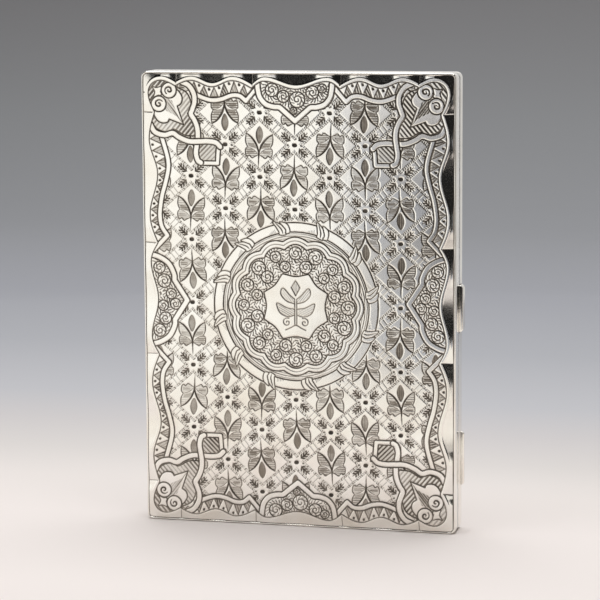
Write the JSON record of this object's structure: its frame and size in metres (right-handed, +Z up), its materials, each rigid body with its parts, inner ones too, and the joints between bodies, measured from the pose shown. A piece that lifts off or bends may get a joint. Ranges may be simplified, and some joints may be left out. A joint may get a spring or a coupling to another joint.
{
  "type": "business card case",
  "caption": "Slim engraved silver card case that opens like a book on a side hinge, with a push-button catch, a gilt inner bezel and silk linings.",
  "frame": {"origin": "middle of the bottom short edge of the closed, standing case, at the foot of its bounding box", "axes": "+Z up the case's long side, +X from the hinge edge to the push-button edge, -Y out of the front cover, +Y out of the back cover"},
  "size_m": [0.0732, 0.008, 0.102],
  "materials": {
    "silver": "polished and engraved sterling silver",
    "gilt": "soft gilt wash",
    "steel": "polished spring steel",
    "silk": "watered silk",
    "ribbon": "ribbed silk ribbon"
  },
  "bodies": {
    "case_back": {"back_cover": "silver", "inner_bezel": "gilt", "back_lining": "silk", "card_band": "ribbon", "hinge_knuckle_back_1": "silver", "hinge_knuckle_back_2": "silver", "hinge_knuckle_back_3": "silver", "hinge_knuckle_back_4": "silver", "hinge_pin": "steel", "catch_spring": "steel", "spring_rivet_1": "steel", "spring_rivet_2": "steel", "thumb_lip": "silver"},
    "case_front": {"front_cover": "silver", "front_lining": "silk", "slip_pocket": "silk", "hinge_knuckle_front_1": "silver", "hinge_knuckle_front_2": "silver", "hinge_knuckle_front_3": "silver", "catch_keeper": "gilt"},
    "button": {"push_button": "silver", "button_flange": "gilt", "catch_hook": "steel"}
  },
  "joints": [
    {"name": "front_hinge", "type": "hinge", "parent": "case_back", "child": "case_front", "pos_m": [-0.03585, 0, 0.051], "axis": [0, 0, -1], "range_deg": [0, 180]},
    {"name": "button_push", "type": "slide", "parent": "case_back", "child": "button", "axis": [-1, 0, 0], "range_m": [0, 0.0008], "stiffness_N_per_m": 3000, "deforming": ["catch_spring"]}
  ]
}
